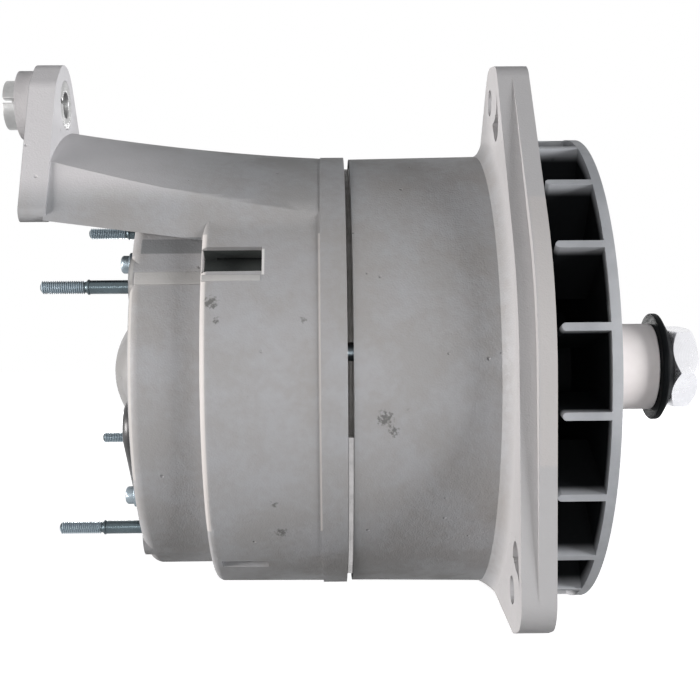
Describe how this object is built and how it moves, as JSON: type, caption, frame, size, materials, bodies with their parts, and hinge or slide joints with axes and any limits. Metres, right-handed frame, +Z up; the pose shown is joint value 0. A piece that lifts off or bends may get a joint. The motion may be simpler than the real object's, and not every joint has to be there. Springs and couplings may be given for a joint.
{
  "type": "vehicle alternator",
  "caption": "Belt-driven heavy-duty alternator with a split cast housing, hinge ears, external radial fan and a bare shaft end ready for a pulley.",
  "frame": {"origin": "on the shaft axis, in the plane of the shoulders of the four studs for the air-intake cover", "axes": "+X along the shaft towards the drive end, +Z up, -Y the near side with the flange web"},
  "size_m": [0.2834, 0.201, 0.2202],
  "materials": {
    "cast_aluminium": "fine shot-blasted casting, dull grey",
    "lamination_steel": "stacked sheet edges under clear varnish",
    "winding_copper": "enamelled copper wire, amber varnish",
    "zinc_steel": "bright zinc plate with a blue tint",
    "bearing_steel": "ground and polished",
    "cage_plastic": "moulded polyamide",
    "seal_rubber": "smooth black rubber",
    "cap_steel": "dull grey dome",
    "sink_aluminium": "rolled sheet",
    "diode_metal": "nickel-plated press-fit can",
    "insulator_plastic": "moulded, dull black",
    "stud_brass": "threaded brass",
    "black_plastic": "glass-filled, satin black",
    "brush_carbon": "pressed copper graphite",
    "spring_steel": "drawn wire",
    "bright_steel": "turned bright steel",
    "shaft_steel": "ground steel",
    "forged_steel": "forged, varnished",
    "ring_copper": "turned copper",
    "fan_aluminium": "die-cast, bright grey",
    "sleeve_coating": "matt cream coating",
    "black_steel": "black phosphate, slightly oily",
    "bright_zinc": "bright zinc plate"
  },
  "bodies": {
    "frame": {"drive_end_housing": "cast_aluminium", "rear_housing": "cast_aluminium", "stator_core": "lamination_steel", "stator_winding": "winding_copper", "through_bolts": "zinc_steel", "drive_bearing_outer_ring": "bearing_steel", "drive_bearing_shields": "seal_rubber", "rear_bearing_outer_ring": "bearing_steel", "rear_bearing_shields": "seal_rubber", "bearing_retainer_plate": "zinc_steel", "retainer_screws": "zinc_steel", "rear_bearing_cap": "cap_steel", "cover_studs": "zinc_steel", "negative_heat_sink": "sink_aluminium", "positive_heat_sink": "sink_aluminium", "negative_diodes": "diode_metal", "positive_diodes": "diode_metal", "heat_sink_spacers": "insulator_plastic", "heat_sink_screws": "zinc_steel", "heat_sink_nuts": "zinc_steel", "positive_stud": "stud_brass", "positive_insulator": "insulator_plastic", "negative_stud": "zinc_steel", "power_nuts": "zinc_steel", "signal_terminals": "stud_brass", "signal_insulators": "insulator_plastic", "brush_holder": "black_plastic", "regulator": "black_plastic", "regulator_screws": "zinc_steel", "rear_brush_spring": "spring_steel", "front_brush_spring": "spring_steel"},
    "rotor": {"shaft": "shaft_steel", "rear_claw_pole": "forged_steel", "drive_claw_pole": "forged_steel", "coil_bobbin": "insulator_plastic", "field_coil": "winding_copper", "slip_ring_hub": "insulator_plastic", "slip_rings": "ring_copper", "drive_bearing_inner_ring": "bearing_steel", "rear_bearing_inner_ring": "bearing_steel", "cooling_fan": "fan_aluminium", "fan_spacer": "shaft_steel", "spacer_sleeve": "sleeve_coating", "lock_washer": "black_steel", "pulley_nut": "bright_zinc"},
    "drive_cage": {"drive_bearing_cage": "cage_plastic", "drive_bearing_balls": "bearing_steel"},
    "rear_cage": {"rear_bearing_cage": "cage_plastic", "rear_bearing_balls": "bearing_steel"},
    "bushing": {"pivot_bushing": "bright_steel"},
    "brush_rear": {"rear_brush": "brush_carbon"},
    "brush_front": {"front_brush": "brush_carbon"}
  },
  "joints": [
    {"name": "rotor_spin", "type": "hinge", "parent": "frame", "child": "rotor", "pos_m": [0, 0, 0], "axis": [1, 0, 0], "continuous": true},
    {"name": "drive_cage_spin", "type": "hinge", "parent": "frame", "child": "drive_cage", "pos_m": [0, 0, 0], "axis": [1, 0, 0], "continuous": true},
    {"name": "rear_cage_spin", "type": "hinge", "parent": "frame", "child": "rear_cage", "pos_m": [0, 0, 0], "axis": [1, 0, 0], "continuous": true},
    {"name": "bushing_slide", "type": "slide", "parent": "frame", "child": "bushing", "axis": [1, 0, 0], "range_m": [0, 0.003]},
    {"name": "rear_brush_lift", "type": "slide", "parent": "frame", "child": "brush_rear", "axis": [0, 0, -1], "range_m": [0, 0.005], "stiffness_N_per_m": 200, "springref_m": -0.02, "deforming": ["rear_brush_spring"]},
    {"name": "front_brush_lift", "type": "slide", "parent": "frame", "child": "brush_front", "axis": [0, 0, -1], "range_m": [0, 0.005], "stiffness_N_per_m": 200, "springref_m": -0.02, "deforming": ["front_brush_spring"]}
  ],
  "couplings": [
    {"joint": "drive_cage_spin", "follows": "rotor_spin", "ratio": 0.3794},
    {"joint": "rear_cage_spin", "follows": "rotor_spin", "ratio": 0.3815}
  ]
}
